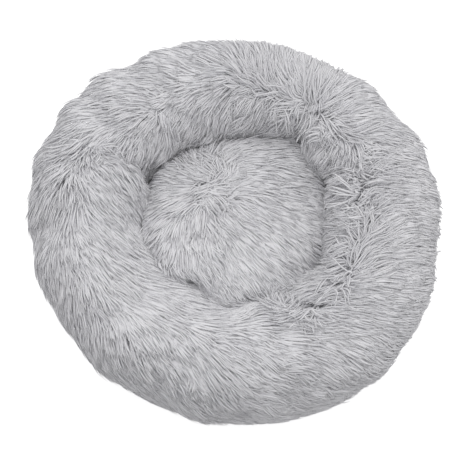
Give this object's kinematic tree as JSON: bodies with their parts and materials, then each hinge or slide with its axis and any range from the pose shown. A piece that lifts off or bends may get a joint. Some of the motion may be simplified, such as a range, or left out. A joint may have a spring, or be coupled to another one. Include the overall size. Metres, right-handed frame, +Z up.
{
  "type": "pet cushion bed",
  "caption": "Round pet bed: a thick stuffed ring in long plush around a plump sunken centre cushion, on a flat non-slip base.",
  "frame": {"origin": "centre of the bed's underside, on the surface it lies on", "axes": "+Z up out of the bed, -Y towards the front of the bed, +X to the right seen from the front"},
  "size_m": [0.5999, 0.6, 0.176],
  "materials": {
    "plush": "long-pile grey plush on a knitted backing",
    "stuffing": "loose white polyester fibre",
    "base_cloth": "woven grey non-slip cloth",
    "grip_rubber": "printed rubber dots, matt",
    "thread": "grey polyester sewing thread"
  },
  "bodies": {
    "root": {"rim_cover_back": "plush", "rim_cover_front": "plush", "centre_cover": "plush", "rim_fill": "stuffing", "centre_fill": "stuffing", "base_cloth": "base_cloth", "grip_dots": "grip_rubber", "outer_seam_thread": "thread", "centre_seam_thread": "thread", "left_cross_seam_thread": "thread", "right_cross_seam_thread": "thread", "closing_stitches": "thread"}
  },
  "joints": []
}
